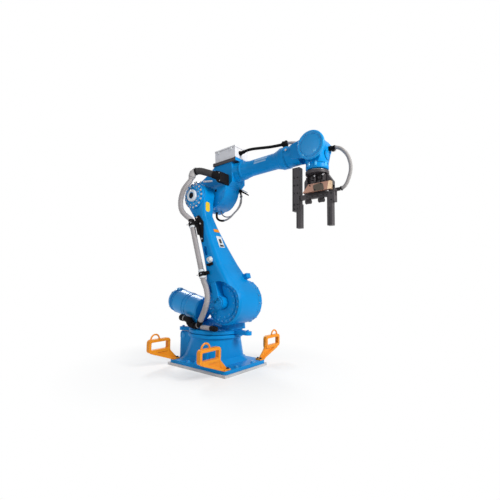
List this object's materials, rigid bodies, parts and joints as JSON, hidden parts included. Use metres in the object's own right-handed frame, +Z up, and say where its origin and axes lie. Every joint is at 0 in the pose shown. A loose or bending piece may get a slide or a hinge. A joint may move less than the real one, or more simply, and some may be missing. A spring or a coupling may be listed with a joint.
{
  "type": "six-axis industrial robot",
  "caption": "Floor-mounted articulated robot with lower arm, rolling forearm, bending wrist and a two-jaw gripper for taking mouldings out of a moulding machine.",
  "frame": {"origin": "on the swing axis, at the underside of the floor plate", "axes": "+X along the reach of the arm at rest, +Y to the robot's left, +Z up"},
  "size_m": [1.9885, 1.188, 2.2072],
  "materials": {
    "blue_paint": "semi-gloss",
    "orange_paint": "semi-gloss",
    "grey_plate": "satin",
    "dark_steel": "satin",
    "black_plastic": "matte",
    "hose_jacket": "matte",
    "box_enamel": "satin",
    "motor_metal": "satin",
    "copper_block": "satin",
    "machined_steel": "brushed"
  },
  "bodies": {
    "base": {"floor_plate": "grey_plate", "base_casting": "blue_paint", "connector_panel": "motor_metal", "fork_bracket_front_right": "orange_paint", "fork_bracket_front_left": "orange_paint", "fork_bracket_rear_right": "orange_paint", "fork_bracket_rear_left": "orange_paint"},
    "turntable": {"turntable": "blue_paint", "swing_motor": "blue_paint", "swing_motor_cap": "blue_paint", "motor_connectors": "black_plastic", "turntable_conduit": "hose_jacket", "conduit_plug": "black_plastic", "shoulder_motor": "blue_paint", "shoulder_motor_cap": "black_plastic", "lower_hose": "hose_jacket"},
    "lower_arm": {"lower_arm": "blue_paint", "hub_cover": "blue_paint", "hose_clamps": "black_plastic", "hose_bracket": "black_plastic", "hose_fitting": "motor_metal", "elbow_motor_flange": "blue_paint", "elbow_motor_cap": "motor_metal", "arm_hose": "hose_jacket", "elbow_hose": "hose_jacket"},
    "elbow": {"elbow_casing": "blue_paint", "box_plate": "dark_steel", "junction_box": "box_enamel", "box_gland": "black_plastic", "wrist_motors": "motor_metal", "elbow_conduit": "black_plastic", "conduit_boot": "black_plastic", "underside_leads": "black_plastic", "lead_clip": "black_plastic", "roll_cable": "black_plastic"},
    "forearm": {"forearm_tube": "blue_paint", "wrist_fork": "blue_paint", "wrist_covers": "blue_paint", "cable_clamp": "black_plastic", "wrist_hose": "hose_jacket"},
    "wrist": {"wrist_body": "blue_paint", "hose_connector": "black_plastic", "tool_hose": "hose_jacket"},
    "tool": {"tool_flange": "machined_steel", "gripper_adapter": "dark_steel", "gripper_beam": "dark_steel", "clamp_block": "copper_block", "jaw_cylinders": "dark_steel"},
    "left_jaw": {"left_jaw": "dark_steel"},
    "right_jaw": {"right_jaw": "dark_steel"}
  },
  "joints": [
    {"name": "swing", "type": "hinge", "parent": "base", "child": "turntable", "pos_m": [0, 0, 0.335], "axis": [0, 0, 1], "range_deg": [-180, 180]},
    {"name": "lower_arm_tilt", "type": "hinge", "parent": "turntable", "child": "lower_arm", "pos_m": [0.285, 0, 0.65], "axis": [0, 1, 0], "range_deg": [-42, 94], "deforming": ["lower_hose"]},
    {"name": "upper_arm_tilt", "type": "hinge", "parent": "lower_arm", "child": "elbow", "pos_m": [-0.05492, 0, 1.69616], "axis": [0, -1, 0], "range_deg": [-35, 108], "deforming": ["elbow_hose"]},
    {"name": "forearm_roll", "type": "hinge", "parent": "elbow", "child": "forearm", "pos_m": [0.33489, 0, 1.95802], "axis": [0.9992, 0, 0.0401], "range_deg": [-205, 205], "deforming": ["roll_cable"]},
    {"name": "wrist_bend", "type": "hinge", "parent": "forearm", "child": "wrist", "pos_m": [1.15822, 0, 1.99109], "axis": [0, -1, 0], "range_deg": [-2, 215], "deforming": ["wrist_hose"]},
    {"name": "tool_turn", "type": "hinge", "parent": "wrist", "child": "tool", "pos_m": [1.15822, 0, 1.78609], "axis": [0, 0, -1], "range_deg": [-110, 110], "deforming": ["tool_hose"]},
    {"name": "left_jaw_slide", "type": "slide", "parent": "tool", "child": "left_jaw", "axis": [1, 0, 0], "range_m": [0, 0.03]},
    {"name": "right_jaw_slide", "type": "slide", "parent": "tool", "child": "right_jaw", "axis": [-1, 0, 0], "range_m": [0, 0.03]}
  ],
  "couplings": [
    {"joint": "right_jaw_slide", "follows": "left_jaw_slide", "ratio": 1}
  ]
}
